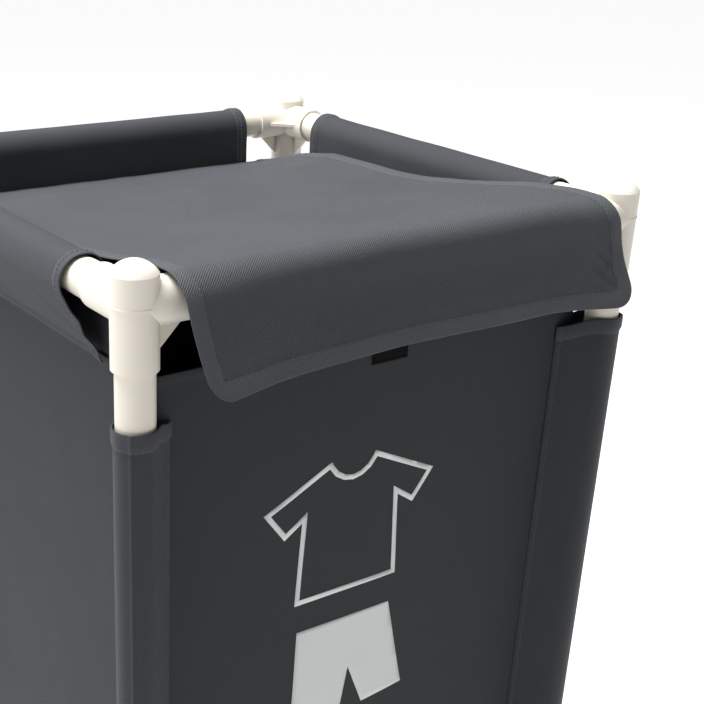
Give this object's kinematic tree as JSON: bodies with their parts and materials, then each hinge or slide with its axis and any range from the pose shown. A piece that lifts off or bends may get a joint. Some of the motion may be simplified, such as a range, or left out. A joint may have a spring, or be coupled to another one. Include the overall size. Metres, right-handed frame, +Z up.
{
  "type": "laundry hamper with lid",
  "caption": "Square fabric laundry hamper on a plastic tube frame, with a hemmed lid that drapes over the front rail and a hook-and-loop closure.",
  "frame": {"origin": "on the floor, at the middle of the square formed by the four post axes", "axes": "+Z up; -Y to the front, where the lid's flap hangs; +X to the right seen from the front"},
  "size_m": [0.3888, 0.3928, 0.6],
  "materials": {
    "fitting_plastic": "ivory moulded plastic, soft gloss",
    "tube_plastic": "ivory extruded plastic, soft gloss",
    "bag_cloth": "dark slate woven polyester, fine plain weave",
    "sleeve_cloth": "dark slate woven polyester, hemmed and stitched",
    "floor_cloth": "dark slate woven polyester over a stiff board",
    "lid_cloth": "slate twill woven polyester with a stitched hem, slight sheen",
    "hook_and_loop": "black hook-and-loop tape",
    "print_ink": "light grey screen-printed ink"
  },
  "bodies": {
    "frame": {"top_corner_front_left": "fitting_plastic", "top_corner_front_right": "fitting_plastic", "top_corner_back_right": "fitting_plastic", "top_corner_back_left": "fitting_plastic", "bottom_corner_front_left": "fitting_plastic", "bottom_corner_front_right": "fitting_plastic", "bottom_corner_back_right": "fitting_plastic", "bottom_corner_back_left": "fitting_plastic", "post_front_left": "tube_plastic", "post_front_right": "tube_plastic", "post_back_right": "tube_plastic", "post_back_left": "tube_plastic", "top_rail_front": "tube_plastic", "top_rail_right": "tube_plastic", "top_rail_back": "tube_plastic", "top_rail_left": "tube_plastic", "bottom_rail_front": "tube_plastic", "bottom_rail_right": "tube_plastic", "bottom_rail_back": "tube_plastic", "bottom_rail_left": "tube_plastic", "bag_panel_front": "bag_cloth", "bag_panel_back": "bag_cloth", "bag_panel_left": "bag_cloth", "bag_panel_right": "bag_cloth", "bag_floor": "floor_cloth", "top_sleeve_front": "sleeve_cloth", "top_sleeve_right": "sleeve_cloth", "top_sleeve_back": "sleeve_cloth", "top_sleeve_left": "sleeve_cloth", "bottom_sleeve_front": "sleeve_cloth", "bottom_sleeve_right": "sleeve_cloth", "bottom_sleeve_back": "sleeve_cloth", "bottom_sleeve_left": "sleeve_cloth", "post_sleeve_front_left": "sleeve_cloth", "post_sleeve_front_right": "sleeve_cloth", "post_sleeve_back_right": "sleeve_cloth", "post_sleeve_back_left": "sleeve_cloth", "bag_loop_patch": "hook_and_loop", "shirt_print": "print_ink", "shorts_print": "print_ink"},
    "lid": {"lid_panel": "lid_cloth"},
    "front_flap": {"lid_front_flap": "lid_cloth", "flap_hook_patch": "hook_and_loop"}
  },
  "joints": [
    {"name": "lid_hinge", "type": "hinge", "parent": "frame", "child": "lid", "pos_m": [0, 0.1653, 0.549], "axis": [-1, 0, 0], "range_deg": [0, 70]},
    {"name": "flap_fold", "type": "hinge", "parent": "lid", "child": "front_flap", "pos_m": [0, -0.182, 0.5934], "axis": [-1, 0, 0], "range_deg": [0, 80]}
  ]
}
